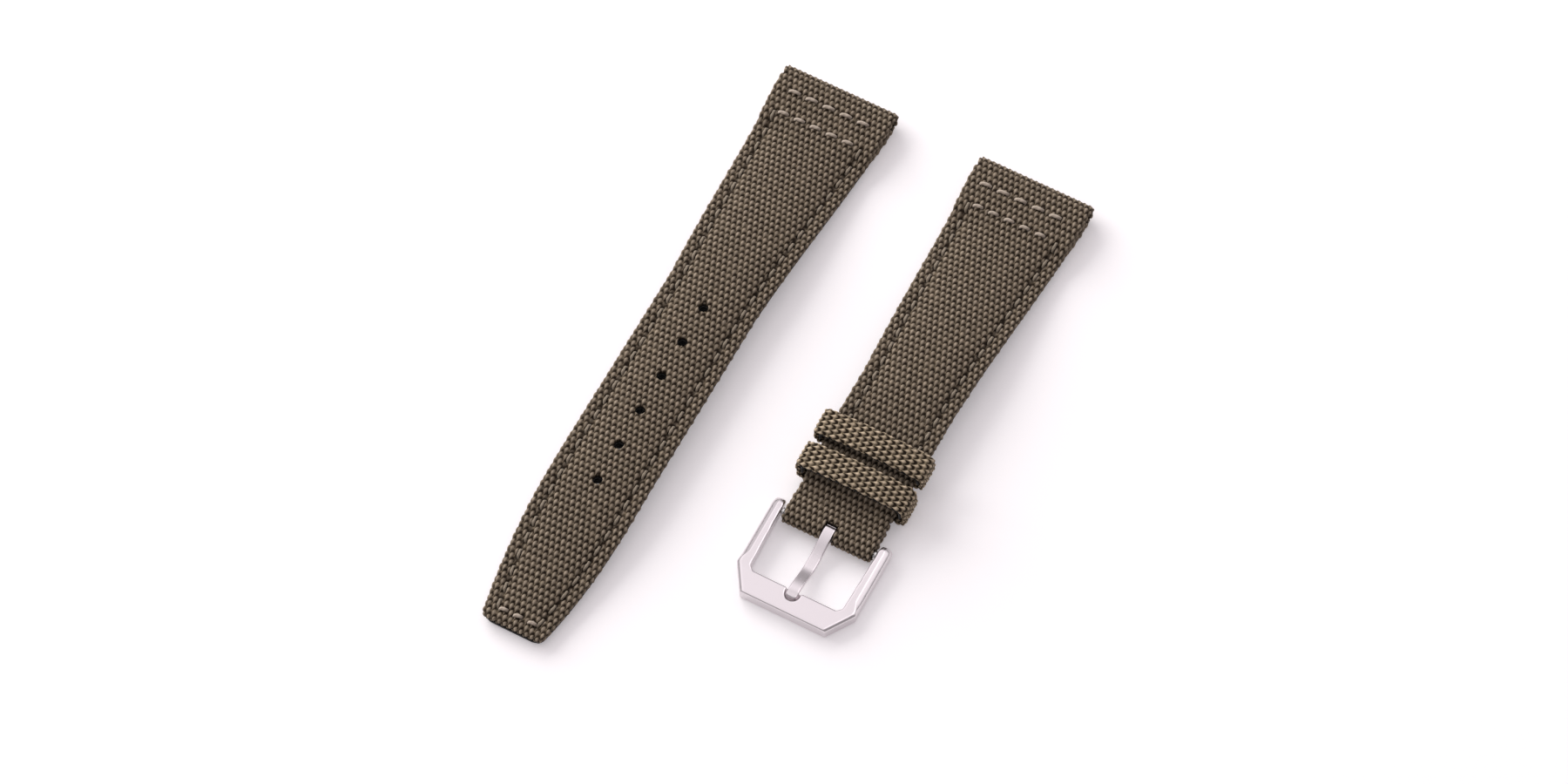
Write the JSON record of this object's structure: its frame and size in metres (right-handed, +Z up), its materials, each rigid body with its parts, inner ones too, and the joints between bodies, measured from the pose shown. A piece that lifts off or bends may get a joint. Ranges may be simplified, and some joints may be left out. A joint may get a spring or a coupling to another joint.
{
  "type": "watch strap",
  "caption": "Two-piece padded fabric watch strap with turned edges, adjustment holes, a fixed and a floating keeper, and a tang buckle on a spring bar.",
  "frame": {"origin": "on the table, under the middle of the box round the two halves laid out side by side", "axes": "+X across the strap, from the long half to the buckle half; +Y along the strap towards the lug ends; +Z up from the table through the strap's face"},
  "size_m": [0.0608, 0.1192, 0.0085],
  "materials": {
    "canvas": "thick plain weave of taupe and dark yarns",
    "keeper_canvas": "thick weave with its ribs across the keeper",
    "lining": "smooth dark microfibre",
    "padding": "soft felt",
    "ribbon": "tightly woven ribbon",
    "steel": "satin",
    "bar_steel": "turned"
  },
  "bodies": {
    "long_half": {"long_top_fabric": "canvas", "long_padding": "padding", "long_reinforcement": "ribbon", "long_lining": "lining"},
    "short_half": {"short_top_fabric": "canvas", "short_padding": "padding", "short_reinforcement": "ribbon", "short_lining": "lining", "fixed_keeper_band": "keeper_canvas", "fixed_keeper_liner": "lining", "spring_bar_tube": "bar_steel", "spring_bar_spring": "bar_steel"},
    "floating_keeper": {"floating_keeper_band": "keeper_canvas", "floating_keeper_liner": "lining"},
    "buckle": {"buckle_frame": "steel"},
    "tongue": {"buckle_tongue": "steel"},
    "bar_tip_left": {"spring_bar_tip_left": "bar_steel"},
    "bar_tip_right": {"spring_bar_tip_right": "bar_steel"}
  },
  "joints": [
    {"name": "short_half_lift", "type": "slide", "parent": "long_half", "child": "short_half", "axis": [0, 0, 1], "range_m": [0, 0.03]},
    {"name": "buckle_hinge", "type": "hinge", "parent": "short_half", "child": "buckle", "pos_m": [0.01915, -0.01844, 0.0018], "axis": [-1, 0, 0], "range_deg": [-40, 60]},
    {"name": "tongue_hinge", "type": "hinge", "parent": "buckle", "child": "tongue", "pos_m": [0.01915, -0.01844, 0.0018], "axis": [-1, 0, 0], "range_deg": [0, 70]},
    {"name": "keeper_slide", "type": "slide", "parent": "short_half", "child": "floating_keeper", "axis": [0, 0.9945, 0.1045], "range_m": [-0.003, 0.0014]},
    {"name": "bar_tip_left_slide", "type": "slide", "parent": "short_half", "child": "bar_tip_left", "axis": [1, 0, 0], "range_m": [0, 0.0012], "stiffness_N_per_m": 50, "springref_m": -0.001, "deforming": ["spring_bar_spring"]},
    {"name": "bar_tip_right_slide", "type": "slide", "parent": "short_half", "child": "bar_tip_right", "axis": [-1, 0, 0], "range_m": [0, 0.0012], "stiffness_N_per_m": 50, "springref_m": -0.001, "deforming": ["spring_bar_spring"]}
  ]
}
